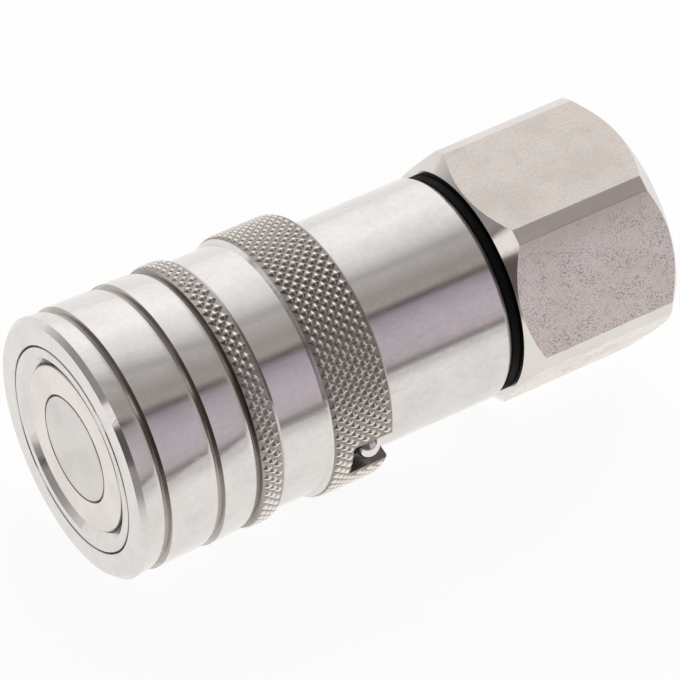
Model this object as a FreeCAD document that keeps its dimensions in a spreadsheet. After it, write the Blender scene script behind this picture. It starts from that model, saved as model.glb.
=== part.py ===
import FreeCAD, Part
import os
import re

import Sketcher

# Socket half of a flat face quick coupling, size 12.5, lying on a flat of its hexagon.
# The axis of the coupling is X. The mating nipple comes in from -X and the port is at +X.
# Lengths along the axis are stations measured back from the front face of the sleeve.
# The origin is the centre of the flat coupling face, so every piece stands faceRecess forward.

# Driving sizes in millimetres and degrees
SIZES = {
    # The flat face and the clearances
    "faceRecess": 0.5,
    "slideFit": 0.05,
    "sleeveFit": 0.1,
    "seatFit": 0.05,
    "seamChamfer": 0.2,
    # Outside of the locking sleeve
    "sleeveLength": 39.6,
    "lipRadius": 19.1,
    "skinRadius": 18.85,
    "waistRadius": 18.35,
    "frontChamfer": 0.75,
    "grooveDepth": 0.9,
    "grooveRun": 1.5,
    "firstLip": 4.45,
    "secondLip": 12.75,
    "bandStart": 18.7,
    "bandWidth": 3.3,
    "bandRadius": 19.35,
    "bandFall": 0.6,
    "bandRows": 4,
    "gripStart": 29.6,
    "gripRise": 0.4,
    "gripRadius": 19.4,
    "gripRows": 11,
    "knurlColumns": 74,
    "knurlDepth": 0.42,
    "knurlLap": 0.05,
    "rimChamfer": 0.3,
    "notchLength": 6.4,
    "notchWidth": 6.1,
    "notchAngle": 9.0,
    "sleeveTravel": 5.2,
    "springShoulder": 1.9,
    # Locking balls and safety ball
    "ballCount": 8,
    "ballRadius": 2.0,
    "ballStation": 4.0,
    "ballTravel": 1.65,
    "ballFit": 0.05,
    "ballHoleFit": 0.1,
    "ballThroat": 0.1,
    "safetyBallRadius": 1.75,
    "safetyBallInset": 3.0,
    "safetyBallSink": 0.9,
    # Coupling body
    "bodyLength": 60.65,
    "bodyRadius": 16.5,
    "bodyEdgeRun": 0.7,
    "bodyEdgeDrop": 0.4,
    "noseRadius": 15.0,
    "mouthRadius": 13.6,
    "mouthDepth": 1.0,
    "nippleRadius": 12.25,
    "springSeat": 32.0,
    "chamberStart": 20.0,
    "chamberRadius": 13.4,
    # Seal and open ring in the nose
    "sealStation": 8.2,
    "sealGrooveWidth": 3.4,
    "sealGrooveRadius": 14.0,
    "backupWidth": 1.3,
    "stopStation": 13.6,
    "stopWidth": 1.2,
    "stopGrooveRadius": 14.2,
    "stopRingRadius": 15.9,
    "openRingArc": 325.0,
    # End adapter
    "spigotLength": 14.15,
    "spigotRadius": 14.2,
    "spigotChamfer": 0.5,
    "jointWidth": 1.6,
    "jointInset": 0.35,
    "jointRound": 0.25,
    "hexLength": 25.55,
    "hexFlats": 34.0,
    "cornerRadius": 19.0,
    "hexFaceRadius": 16.8,
    "portRadius": 9.32,
    "portDepth": 14.5,
    "portChamfer": 1.3,
    "passageRadius": 9.0,
    "tailSealInset": 1.6,
    "tailSealWidth": 1.9,
    "tailSealDepth": 1.55,
    # Valve sleeve
    "valveTravel": 14.04,
    "valveChamfer": 0.25,
    "valveLand": 5.5,
    "valveBoreRadius": 9.6,
    "valveTaper": 3.0,
    "flangeWidth": 2.0,
    "tailRadius": 11.0,
    "tailEnd": 51.5,
    "tailGap": 0.5,
    # Valve stem
    "headRadius": 7.75,
    "headLength": 4.4,
    "headTaper": 3.6,
    "stemSealInset": 1.7,
    "stemSealWidth": 1.6,
    "stemSealDepth": 1.35,
    "shankRadius": 4.0,
    "spiderWidth": 2.6,
    "hubFlare": 0.5,
    "hubLength": 3.0,
    "flowHoleRadius": 2.0,
    "flowHoleCircle": 6.6,
    "flowHoleCount": 6,
    "stemRingWidth": 1.0,
    "stemRingDepth": 0.95,
    "stemRingReach": 0.85,
    # Springs
    "sleeveWire": 0.6,
    "sleeveSpringTurns": 4.5,
    "valveWire": 0.9,
    "valveSpringTurns": 4.0,
}

# Places that follow from the driving sizes
PLACES = {
    "sleeveBore": "noseRadius + sleeveFit",
    "sleeveRearBore": "bodyRadius + sleeveFit",
    "grooveFloor": "lipRadius - grooveDepth",
    "bandEnd": "bandStart + bandWidth",
    "bandFloor": "bandRadius - knurlDepth - knurlLap",
    "gripFront": "gripStart + gripRise",
    "gripEnd": "sleeveLength - rimChamfer",
    "gripFloor": "gripRadius - knurlDepth - knurlLap",
    "ballLocked": "sleeveBore - ballFit - ballRadius",
    "ballRest": "ballLocked + ballTravel",
    "rampSlope": "ballTravel / sleeveTravel",
    "rampRadius": "ballRest + ballRadius * sqrt(1 + rampSlope ^ 2) + ballFit",
    "rampEnd": "ballStation + (rampRadius - sleeveBore) / rampSlope",
    "reliefFront": "ballStation - ballRadius - 2 * ballFit",
    "stopEnd": "stopStation + stopWidth",
    "stopPocketFront": "stopStation - sleeveFit",
    "stopPocketRear": "stopEnd + sleeveTravel + seatFit",
    "stopPocketRadius": "stopRingRadius + sleeveFit",
    "sleeveSpringFront": "stopPocketRear + springShoulder",
    "sleeveSpringRadius": "(noseRadius + sleeveRearBore) / 2",
    "sealEnd": "sealStation + sealGrooveWidth",
    "safetyBallStation": "sleeveLength - safetyBallInset",
    "safetyBallHeight": "bodyRadius + safetyBallRadius - safetyBallSink",
    "spigotFront": "bodyLength - spigotLength",
    "hexFront": "bodyLength + jointWidth",
    "hexRear": "hexFront + hexLength",
    "hexBevel": "cornerRadius - hexFaceRadius",
    "portBottom": "hexRear - portDepth",
    "tailBore": "tailRadius + slideFit",
    "tailSealFront": "spigotFront + tailSealInset",
    "tailSealEnd": "tailSealFront + tailSealWidth",
    "tailSealFloor": "tailBore + tailSealDepth",
    "valveRadius": "nippleRadius - slideFit",
    "valveLandRadius": "headRadius + slideFit",
    "valveLandEnd": "faceRecess + valveLand",
    "flangeFront": "chamberStart + seatFit",
    "flangeEnd": "flangeFront + flangeWidth",
    "flangeRadius": "chamberRadius - sleeveFit",
    "valveSpringRadius": "(tailRadius + chamberRadius) / 2",
    "headEnd": "faceRecess + headLength",
    "stemSealFront": "faceRecess + stemSealInset",
    "stemSealEnd": "stemSealFront + stemSealWidth",
    "stemSealFloor": "headRadius - stemSealDepth",
    "stemRingFront": "tailEnd + valveTravel + tailGap",
    "stemRingFloor": "tailBore + stemRingDepth",
    "spiderFront": "stemRingFront + stemRingWidth",
    "spiderSeat": "spiderFront + spiderWidth",
    "spiderRadius": "tailBore - seatFit",
    "hubRadius": "shankRadius + hubFlare",
}

doc = FreeCAD.newDocument("FlatFaceCoupling")
sheet = doc.addObject("Spreadsheet::Sheet", "Sizes")
for row, (size_name, number) in enumerate(SIZES.items(), start=1):
    sheet.set(f"A{row}", size_name)
    sheet.set(f"B{row}", str(number))
    sheet.setAlias(f"B{row}", size_name)
doc.recompute()

WORD = re.compile(r"[A-Za-z_]\w*")
SUBPARTS = []


def formula(text):
    """Turn a formula in named sizes and places into an expression on the sheet."""

    def swap(match):
        word = match.group(0)
        if word in SIZES:
            return f"Sizes.{word}"
        if word in PLACES:
            return f"({formula(PLACES[word])})"
        return word

    return WORD.sub(swap, text)


def value(text):
    """Give the number that a formula has with the sizes in the sheet."""
    return float(sheet.evalExpression(formula(text)))


def new_body(label, turned="0"):
    """Start a piece on the coupling's axis, turned about it by a formula in degrees."""
    body = doc.addObject("PartDesign::Body", label)
    body.Label = label
    body.Placement = FreeCAD.Placement(
        FreeCAD.Vector(-value("faceRecess"), 0, 0),
        FreeCAD.Rotation(FreeCAD.Vector(1, 0, 0), value(turned)),
    )
    body.setExpression("Placement.Base.x", formula("-faceRecess"))
    if turned != "0":
        body.setExpression("Placement.Rotation.Angle", formula(turned))
    SUBPARTS.append(body)
    return body


def new_sketch(body, name, role, along="0", across="0"):
    """Attach a sketch to one of its body's own planes, moved in its plane and off it by formulas."""
    plane = next(item for item in body.Origin.OriginFeatures if item.Role == role)
    sketch = body.newObject("Sketcher::SketchObject", name)
    sketch.AttachmentSupport = [(plane, "")]
    sketch.MapMode = "FlatFace"
    if along != "0":
        sketch.setExpression("AttachmentOffset.Base.x", formula(along))
    if across != "0":
        sketch.setExpression("AttachmentOffset.Base.z", formula(across))
    return sketch


def bind(sketch, kind, places, text):
    """Add one dimension to a sketch and tie it to a formula."""
    index = sketch.addConstraint(Sketcher.Constraint(kind, *places, value(text)))
    label = f"size{index}"
    sketch.renameConstraint(index, label)
    sketch.setExpression(f"Constraints.{label}", formula(text))


def outline(sketch, corners):
    """Draw a closed outline whose corners are pairs of formulas, each tied to the sheet."""
    spots = [FreeCAD.Vector(value(x), value(y), 0) for x, y in corners]
    count = len(corners)
    lines = [
        sketch.addGeometry(Part.LineSegment(spots[i], spots[(i + 1) % count]), False)
        for i in range(count)
    ]
    for i in range(count):
        following = lines[(i + 1) % count]
        sketch.addConstraint(Sketcher.Constraint("Coincident", lines[i], 2, following, 1))
    for i, (x, y) in enumerate(corners):
        if i and corners[i - 1][0] == x:
            sketch.addConstraint(Sketcher.Constraint("Vertical", lines[i - 1]))
        elif x == "0":
            sketch.addConstraint(Sketcher.Constraint("PointOnObject", lines[i], 1, -2))
        else:
            bind(sketch, "DistanceX", (-1, 1, lines[i], 1), x)
        if i and corners[i - 1][1] == y:
            sketch.addConstraint(Sketcher.Constraint("Horizontal", lines[i - 1]))
        elif y == "0":
            sketch.addConstraint(Sketcher.Constraint("PointOnObject", lines[i], 1, -1))
        else:
            bind(sketch, "DistanceY", (-1, 1, lines[i], 1), y)


def turn(body, corners, arc=None):
    """Turn a half section, pairs of station and radius, about the coupling's axis."""
    sketch = new_sketch(body, "Section", "XY_Plane")
    outline(sketch, corners)
    turned = body.newObject("PartDesign::Revolution", "Turned")
    turned.Profile = sketch
    turned.ReferenceAxis = (sketch, ["H_Axis"])
    turned.Angle = 360
    if arc:
        turned.setExpression("Angle", formula(arc))
    return turned


def circle(sketch, x, y, radius):
    """Draw a circle with its centre and radius tied to formulas."""
    centre = FreeCAD.Vector(value(x), value(y), 0)
    ring = sketch.addGeometry(Part.Circle(centre, FreeCAD.Vector(0, 0, 1), value(radius)), False)
    if x == "0" and y == "0":
        sketch.addConstraint(Sketcher.Constraint("Coincident", ring, 3, -1, 1))
    else:
        bind(sketch, "DistanceX", (-1, 1, ring, 3), x)
        sketch.addConstraint(Sketcher.Constraint("PointOnObject", ring, 3, -1))
    bind(sketch, "Radius", (ring,), radius)


def hexagon(sketch, flats):
    """Draw a regular hexagon about the sketch's origin with a corner on its first axis."""
    reach = f"({flats}) / sqrt(3)"
    size = value(reach)
    guide = sketch.addGeometry(
        Part.Circle(FreeCAD.Vector(0, 0, 0), FreeCAD.Vector(0, 0, 1), size), True
    )
    sketch.addConstraint(Sketcher.Constraint("Coincident", guide, 3, -1, 1))
    bind(sketch, "Radius", (guide,), reach)
    step = FreeCAD.Rotation(FreeCAD.Vector(0, 0, 1), 60)
    spot = FreeCAD.Vector(size, 0, 0)
    sides = []
    for _ in range(6):
        following = step.multVec(spot)
        sides.append(sketch.addGeometry(Part.LineSegment(spot, following), False))
        spot = following
    for i in range(6):
        sketch.addConstraint(Sketcher.Constraint("Coincident", sides[i], 2, sides[(i + 1) % 6], 1))
        sketch.addConstraint(Sketcher.Constraint("PointOnObject", sides[i], 1, guide))
    for i in range(1, 6):
        sketch.addConstraint(Sketcher.Constraint("Equal", sides[0], sides[i]))
    sketch.addConstraint(Sketcher.Constraint("PointOnObject", sides[0], 1, -1))


def cut(body, sketch, name, depth=None):
    """Cut a sketch out of a body along the sketch's own normal, all the way if no depth is given."""
    pocket = body.newObject("PartDesign::Pocket", name)
    pocket.Profile = sketch
    pocket.Reversed = True
    if depth:
        pocket.Type = "Length"
        pocket.setExpression("Length", formula(depth))
    else:
        pocket.Type = "ThroughAll"
    return pocket


def repeat(body, feature, name, count):
    """Repeat a feature evenly round the coupling's axis."""
    axis = next(item for item in body.Origin.OriginFeatures if item.Role == "X_Axis")
    pattern = body.newObject("PartDesign::PolarPattern", name)
    pattern.Originals = [feature]
    pattern.Axis = (axis, [""])
    pattern.Angle = 360
    pattern.setExpression("Occurrences", formula(count))
    body.Tip = pattern


def ring_seal(label, station, inner, outer):
    """Make a round seal ring on the axis that fills the space between two radii."""
    seal = doc.addObject("Part::Torus", label)
    seal.Label = label
    seal.Placement = FreeCAD.Placement(
        FreeCAD.Vector(0, 0, 0), FreeCAD.Rotation(FreeCAD.Vector(0, 1, 0), 90)
    )
    seal.setExpression("Radius1", formula(f"(({inner}) + ({outer})) / 2"))
    seal.setExpression("Radius2", formula(f"(({outer}) - ({inner})) / 2"))
    seal.setExpression("Placement.Base.x", formula(f"{station} - faceRecess"))
    SUBPARTS.append(seal)


def steel_ball(label, radius, station, height, angle):
    """Make a ball at a station and height, at an angle in degrees from +Y towards +Z."""
    ball = doc.addObject("Part::Sphere", label)
    ball.Label = label
    ball.setExpression("Radius", formula(radius))
    ball.setExpression("Placement.Base.x", formula(f"{station} - faceRecess"))
    ball.setExpression("Placement.Base.y", formula(f"({height}) * cos({angle})"))
    ball.setExpression("Placement.Base.z", formula(f"({height}) * sin({angle})"))
    SUBPARTS.append(ball)


def coil_spring(label, front, end, radius, wire, turns):
    """Wind a wire about the axis so that its coil fills the length between two stations."""
    body = new_body(label)
    sketch = new_sketch(body, "Wire", "XY_Plane")
    start = f"{front} + {wire}"
    centre = FreeCAD.Vector(value(start), value(radius), 0)
    ring = sketch.addGeometry(Part.Circle(centre, FreeCAD.Vector(0, 0, 1), value(wire)), False)
    bind(sketch, "DistanceX", (-1, 1, ring, 3), start)
    bind(sketch, "DistanceY", (-1, 1, ring, 3), radius)
    bind(sketch, "Radius", (ring,), wire)
    coil = body.newObject("PartDesign::AdditiveHelix", "Coil")
    coil.Profile = sketch
    coil.ReferenceAxis = (sketch, ["H_Axis"])
    coil.Mode = "height-turns-angle"
    coil.setExpression("Height", formula(f"({end}) - ({front}) - 2 * {wire}"))
    coil.setExpression("Turns", formula(turns))
    return body


def knurled_ring(name, front, end, rows, radius, turned):
    """Make a ring with the points of a diamond knurl outside, level along its two edges.

    The rows and columns of the knurl cross at half its pitch. Every other crossing is a point, and
    the grooves run from low crossing to low crossing, so four flat facets meet at each point.
    """
    columns = 2 * round(value("knurlColumns"))
    last = round(value(rows))
    start = value(front)
    run = (value(end) - start) / last
    tip = value(radius)
    root = tip - value("knurlDepth")
    inner = root - value("knurlDepth")
    axis = FreeCAD.Vector(1, 0, 0)

    def is_point(row, column):
        return (row + column) % 2 == 1

    def crossing(row, column):
        reach = tip if 0 < row < last and is_point(row, column) else root
        spoke = FreeCAD.Rotation(axis, 360 * column / columns)
        return spoke.multVec(FreeCAD.Vector(start + run * row, reach, 0))

    faces = []
    for row in range(last):
        for column in range(columns):
            near = crossing(row, column)
            beside = crossing(row, column + 1)
            behind = crossing(row + 1, column)
            across = crossing(row + 1, column + 1)
            if is_point(row, column):
                halves = (near, beside, behind), (beside, across, behind)
            else:
                halves = (near, beside, across), (near, across, behind)
            faces += [Part.Face(Part.makePolygon([*half, half[0]])) for half in halves]
    for row in (0, last):
        edge = Part.makePolygon([crossing(row, column) for column in range(columns + 1)])
        bore = Part.Wire(Part.makeCircle(inner, axis * (start + run * row), axis))
        faces.append(Part.makeFace([edge, bore], "Part::FaceMakerBullseye"))
    wall = Part.makeCylinder(inner, run * last, axis * start, axis).Faces[0]
    faces.append(wall.reversed())
    ring = doc.addObject("Part::Feature", name)
    ring.Shape = Part.makeSolid(Part.makeShell(faces))
    ring.Placement = turned.Placement
    return ring


# Locking sleeve: turned grooves outside, steps for balls, stop ring and spring inside
turned_sleeve = new_body("TurnedSleeve", "notchAngle")
SUBPARTS.remove(turned_sleeve)
turn(turned_sleeve, [
    ("seamChamfer", "sleeveBore"),
    ("0", "sleeveBore + seamChamfer"),
    ("0", "lipRadius - frontChamfer"),
    ("frontChamfer", "lipRadius"),
    ("firstLip - grooveRun", "skinRadius"),
    ("firstLip", "grooveFloor"),
    ("firstLip", "lipRadius"),
    ("secondLip - grooveRun", "skinRadius"),
    ("secondLip", "grooveFloor"),
    ("secondLip", "lipRadius"),
    ("bandStart - grooveRun", "skinRadius"),
    ("bandStart", "grooveFloor"),
    ("bandStart", "bandFloor"),
    ("bandEnd", "bandFloor"),
    ("bandEnd + bandFall", "waistRadius"),
    ("gripStart", "waistRadius"),
    ("gripFront", "gripFloor"),
    ("gripEnd", "gripFloor"),
    ("sleeveLength", "gripFloor - rimChamfer"),
    ("sleeveLength", "sleeveRearBore"),
    ("sleeveSpringFront", "sleeveRearBore"),
    ("sleeveSpringFront", "sleeveBore"),
    ("stopPocketRear", "sleeveBore"),
    ("stopPocketRear", "stopPocketRadius"),
    ("stopPocketFront", "stopPocketRadius"),
    ("stopPocketFront", "sleeveBore"),
    ("rampEnd", "sleeveBore"),
    ("ballStation", "rampRadius"),
    ("reliefFront", "rampRadius"),
    ("reliefFront", "sleeveBore"),
])
doc.recompute()

# Knurl of the sleeve: a narrow and a wide ring of points, and the notch through the wide one
knurled = doc.addObject("Part::MultiFuse", "KnurledSleeve")
knurled.Shapes = [
    turned_sleeve,
    knurled_ring("BandKnurl", "bandStart", "bandEnd", "bandRows", "bandRadius", turned_sleeve),
    knurled_ring("GripKnurl", "gripFront", "gripEnd", "gripRows", "gripRadius", turned_sleeve),
]
knurled.Refine = False
notch = doc.addObject("Part::Box", "Notch")
notch.Placement = turned_sleeve.Placement
notch.setExpression("Length", formula("notchLength + sleeveFit"))
notch.setExpression("Width", formula("lipRadius + ballRadius"))
notch.setExpression("Height", formula("notchWidth"))
notch.setExpression("Placement.Base.x", formula("sleeveLength - notchLength - faceRecess"))
notch.setExpression("Placement.Base.y", formula(
    "notchWidth / 2 * sin(notchAngle) - (lipRadius + ballRadius) * cos(notchAngle)"
))
notch.setExpression("Placement.Base.z", formula(
    "-notchWidth / 2 * cos(notchAngle) - (lipRadius + ballRadius) * sin(notchAngle)"
))
notch.setExpression("Placement.Rotation.Angle", formula("notchAngle"))
sleeve = doc.addObject("Part::Cut", "locking_sleeve")
sleeve.Label = "locking_sleeve"
sleeve.Base = knurled
sleeve.Tool = notch
sleeve.Refine = False
SUBPARTS.append(sleeve)

# Coupling body: nose with the ball holes, step for the sleeve's spring, barrel and stepped bore
barrel = new_body("coupling_body", "notchAngle")
turn(barrel, [
    ("0", "mouthRadius"),
    ("0", "noseRadius - seamChamfer"),
    ("seamChamfer", "noseRadius"),
    ("stopStation", "noseRadius"),
    ("stopStation", "stopGrooveRadius"),
    ("stopEnd", "stopGrooveRadius"),
    ("stopEnd", "noseRadius"),
    ("springSeat", "noseRadius"),
    ("springSeat", "bodyRadius"),
    ("bodyLength - bodyEdgeRun", "bodyRadius"),
    ("bodyLength", "bodyRadius - bodyEdgeDrop"),
    ("bodyLength", "spigotRadius + seatFit"),
    ("spigotFront", "spigotRadius + seatFit"),
    ("spigotFront", "chamberRadius"),
    ("chamberStart", "chamberRadius"),
    ("chamberStart", "nippleRadius"),
    ("sealEnd", "nippleRadius"),
    ("sealEnd", "sealGrooveRadius"),
    ("sealStation", "sealGrooveRadius"),
    ("sealStation", "nippleRadius"),
    ("mouthDepth", "nippleRadius"),
])
seat = new_sketch(barrel, "SafetySeat", "XZ_Plane",
                  across="safetyBallHeight - safetyBallRadius")
circle(seat, "safetyBallStation", "0", "safetyBallRadius + seatFit")
cut(barrel, seat, "SafetyBallSeat")
drill = new_sketch(barrel, "BallHoleSection", "XZ_Plane", along="ballStation")
outline(drill, [
    ("0", "ballLocked - ballRadius"),
    ("ballRadius - ballThroat", "ballLocked - ballRadius"),
    ("ballRadius - ballThroat", "nippleRadius - ballThroat"),
    ("ballRadius + ballHoleFit", "ballLocked"),
    ("ballRadius + ballHoleFit", "noseRadius + ballRadius"),
    ("0", "noseRadius + ballRadius"),
])
hole = barrel.newObject("PartDesign::Groove", "BallHole")
hole.Profile = drill
hole.ReferenceAxis = (drill, ["V_Axis"])
hole.Angle = 360
repeat(barrel, hole, "BallHoles", "ballCount")

# End adapter: spigot in the body, hexagon with turned corners, threaded port behind
adapter = new_body("end_adapter")
turn(adapter, [
    ("spigotFront", "tailBore + spigotChamfer"),
    ("spigotFront", "spigotRadius - spigotChamfer"),
    ("spigotFront + spigotChamfer", "spigotRadius"),
    ("hexFront", "spigotRadius"),
    ("hexFront", "hexFaceRadius"),
    ("hexFront + hexBevel", "cornerRadius"),
    ("hexRear - hexBevel", "cornerRadius"),
    ("hexRear", "hexFaceRadius"),
    ("hexRear", "portRadius + portChamfer"),
    ("hexRear - portChamfer", "portRadius"),
    ("portBottom", "portRadius"),
    ("portBottom", "passageRadius"),
    ("spiderSeat", "passageRadius"),
    ("spiderSeat", "tailBore"),
    ("spiderFront", "tailBore"),
    ("spiderFront", "stemRingFloor"),
    ("stemRingFront", "stemRingFloor"),
    ("stemRingFront", "tailBore"),
    ("tailSealEnd", "tailBore"),
    ("tailSealEnd", "tailSealFloor"),
    ("tailSealFront", "tailSealFloor"),
    ("tailSealFront", "tailBore"),
    ("spigotFront + spigotChamfer", "tailBore"),
])
milling = new_sketch(adapter, "Hexagon", "YZ_Plane", across="hexFront")
circle(milling, "0", "0", "cornerRadius + hexBevel")
hexagon(milling, "hexFlats")
cut(adapter, milling, "Flats", "hexLength")

# Joint seal: the rubber ring clamped between the body and the hexagon
joint = new_body("joint_seal")
turn(joint, [
    ("bodyLength", "spigotRadius + seatFit"),
    ("bodyLength", "bodyRadius - jointInset - jointRound"),
    ("bodyLength + jointRound", "bodyRadius - jointInset"),
    ("hexFront - jointRound", "bodyRadius - jointInset"),
    ("hexFront", "bodyRadius - jointInset - jointRound"),
    ("hexFront", "spigotRadius + seatFit"),
])

# Valve sleeve: flat front ring, sealing land, flange for the spring and tail in the adapter
valve = new_body("valve_sleeve")
turn(valve, [
    ("faceRecess + seamChamfer", "valveLandRadius"),
    ("faceRecess", "valveLandRadius + seamChamfer"),
    ("faceRecess", "valveRadius - valveChamfer"),
    ("faceRecess + valveChamfer", "valveRadius"),
    ("flangeFront", "valveRadius"),
    ("flangeFront", "flangeRadius"),
    ("flangeEnd", "flangeRadius"),
    ("flangeEnd", "tailRadius"),
    ("tailEnd - valveChamfer", "tailRadius"),
    ("tailEnd", "tailRadius - valveChamfer"),
    ("tailEnd", "valveBoreRadius"),
    ("valveLandEnd + valveTaper", "valveBoreRadius"),
    ("valveLandEnd", "valveLandRadius"),
])

# Valve stem: flat head with its seal groove, slim shank and the spider with its flow holes
stem = new_body("valve_stem")
turn(stem, [
    ("faceRecess", "0"),
    ("faceRecess", "headRadius - seamChamfer"),
    ("faceRecess + seamChamfer", "headRadius"),
    ("stemSealFront", "headRadius"),
    ("stemSealFront", "stemSealFloor"),
    ("stemSealEnd", "stemSealFloor"),
    ("stemSealEnd", "headRadius"),
    ("headEnd", "headRadius"),
    ("headEnd + headTaper", "shankRadius"),
    ("spiderFront - hubLength", "shankRadius"),
    ("spiderFront", "hubRadius"),
    ("spiderFront", "spiderRadius"),
    ("spiderSeat", "spiderRadius"),
    ("spiderSeat", "0"),
])
ports = new_sketch(stem, "FlowHoleCircle", "YZ_Plane", across="spiderFront")
circle(ports, "flowHoleCircle", "0", "flowHoleRadius")
flow = cut(stem, ports, "FlowHole", "spiderWidth")
repeat(stem, flow, "FlowHoles", "flowHoleCount")

# Open rings that spring into their grooves
stop_ring = new_body("sleeve_stop_ring")
turn(stop_ring, [
    ("stopStation + seatFit", "stopGrooveRadius + seatFit"),
    ("stopStation + seatFit", "stopRingRadius"),
    ("stopEnd - seatFit", "stopRingRadius"),
    ("stopEnd - seatFit", "stopGrooveRadius + seatFit"),
], "openRingArc")
stem_ring = new_body("stem_retaining_ring")
turn(stem_ring, [
    ("stemRingFront + seatFit", "tailBore - stemRingReach"),
    ("stemRingFront + seatFit", "stemRingFloor - seatFit"),
    ("spiderFront", "stemRingFloor - seatFit"),
    ("spiderFront", "tailBore - stemRingReach"),
], "openRingArc")

# Seals in their grooves
backup = new_body("nipple_backup_ring")
turn(backup, [
    ("sealStation + seatFit", "nippleRadius + seatFit"),
    ("sealStation + seatFit", "sealGrooveRadius - seatFit"),
    ("sealStation + backupWidth", "sealGrooveRadius - seatFit"),
    ("sealStation + backupWidth", "nippleRadius + seatFit"),
])
ring_seal("nipple_seal", "(sealStation + backupWidth + sealEnd) / 2",
          "nippleRadius + seatFit", "sealGrooveRadius - seatFit")
ring_seal("tail_seal", "(tailSealFront + tailSealEnd) / 2",
          "tailBore + seatFit", "tailSealFloor - seatFit")
ring_seal("stem_seal", "(stemSealFront + stemSealEnd) / 2",
          "stemSealFloor + seatFit", "headRadius")

# Springs: one behind the sleeve's shoulder, one between the valve's flange and the adapter
coil_spring("sleeve_spring", "sleeveSpringFront", "springSeat", "sleeveSpringRadius",
            "sleeveWire", "sleeveSpringTurns")
coil_spring("valve_spring", "flangeEnd", "spigotFront", "valveSpringRadius",
            "valveWire", "valveSpringTurns")

# Balls: the ring of locking balls held out by the valve sleeve, and the safety ball in its seat
for number in range(1, int(SIZES["ballCount"]) + 1):
    around = f"90 + notchAngle + {number - 1} * 360 / ballCount"
    steel_ball(f"locking_ball_{number}", "ballRadius", "ballStation", "ballRest", around)
steel_ball("safety_ball", "safetyBallRadius", "safetyBallStation", "safetyBallHeight",
           "180 + notchAngle")

doc.recompute()
for item in doc.Objects:
    if "Invalid" in item.State or "Error" in item.State:
        raise RuntimeError(f"{item.Label} did not build: {item.State}")
for piece in SUBPARTS:
    if piece.Shape.isNull() or not piece.Shape.isValid():
        raise RuntimeError(f"{piece.Label} has no valid shape")

os.makedirs("parts", exist_ok=True)
for piece in SUBPARTS:
    piece.Shape.exportStep(f"parts/{piece.Label}.step")
    box = piece.Shape.BoundBox
    print(piece.Label, len(piece.Shape.Solids), round(piece.Shape.Volume, 1),
          [round(edge, 2) for edge in (box.XMin, box.XMax, box.YMin, box.YMax, box.ZMin, box.ZMax)])
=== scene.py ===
"""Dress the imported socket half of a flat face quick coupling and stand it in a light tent."""
import logging
import math
from dataclasses import dataclass, field
from enum import Enum
from functools import reduce
from typing import Any, Callable, Sequence

import bmesh
import bpy
from mathutils import Matrix, Vector


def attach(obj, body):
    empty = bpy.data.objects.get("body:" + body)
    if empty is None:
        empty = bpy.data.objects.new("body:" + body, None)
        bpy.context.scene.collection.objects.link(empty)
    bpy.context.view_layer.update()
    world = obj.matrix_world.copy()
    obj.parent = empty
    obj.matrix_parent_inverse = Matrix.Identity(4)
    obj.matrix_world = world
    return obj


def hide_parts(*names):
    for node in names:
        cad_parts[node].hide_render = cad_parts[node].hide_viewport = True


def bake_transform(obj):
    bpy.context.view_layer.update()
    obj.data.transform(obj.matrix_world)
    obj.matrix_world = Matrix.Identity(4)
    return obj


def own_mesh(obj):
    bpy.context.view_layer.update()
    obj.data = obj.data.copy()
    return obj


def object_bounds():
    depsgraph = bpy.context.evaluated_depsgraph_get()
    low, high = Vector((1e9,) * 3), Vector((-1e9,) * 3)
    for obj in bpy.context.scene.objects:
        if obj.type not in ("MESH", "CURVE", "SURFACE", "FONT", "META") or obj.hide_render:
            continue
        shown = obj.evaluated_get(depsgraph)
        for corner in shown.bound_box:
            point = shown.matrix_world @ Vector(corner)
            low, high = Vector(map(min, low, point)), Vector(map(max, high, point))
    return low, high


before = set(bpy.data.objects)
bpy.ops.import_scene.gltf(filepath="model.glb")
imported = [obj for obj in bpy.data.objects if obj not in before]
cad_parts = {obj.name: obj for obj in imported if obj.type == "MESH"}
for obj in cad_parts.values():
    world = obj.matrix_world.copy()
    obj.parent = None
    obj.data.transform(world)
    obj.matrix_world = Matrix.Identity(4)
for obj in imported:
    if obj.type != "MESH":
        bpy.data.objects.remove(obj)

LOG = logging.getLogger("flat_face_socket")
MM = 0.001
FACE_RECESS = 0.5
SEAM_HALF_WIDTH = 0.19 * MM
SEAM_DEPTH = (1.3, 0.9)
LINE_BUMP = 0.02 * MM
PIT_BUMP = 0.1 * MM
SKIN_BUMP = 0.03 * MM
WELD = 1e-6
# Colour of the dark oil in the seams and of the painted shade under the notch.
SOOT_AND_SHADE = (0.03, 0.027, 0.025)
# Colour of the painted shade on the knurl's flanks.
FLANK_SHADE = (0.15, 0.135, 0.12)
FLANK = "flank"
NOTCH_TURN = math.radians(9.0)
CAD_BOX = [list(corner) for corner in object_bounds()]

Colour = tuple[float, float, float]
Corner = tuple[float, float]
Span = tuple[float, float]
Stops = Sequence[tuple[float, Colour]]
Piece = bpy.types.Object


def station(length: float) -> float:
    """Give the place on the axis in metres of a station in mm behind the sleeve's front."""
    return (length - FACE_RECESS) * MM


def off_axis(point: Vector) -> float:
    """Give a point's distance from the coupling's axis in metres."""
    return math.hypot(point.y, point.z)


class Grain(Enum):
    """Ways in which a steel surface was worked."""

    TURNED = "rings about the axis"
    DRAWN = "fine lines along the axis"
    POLISHED = "no lines"


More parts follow.
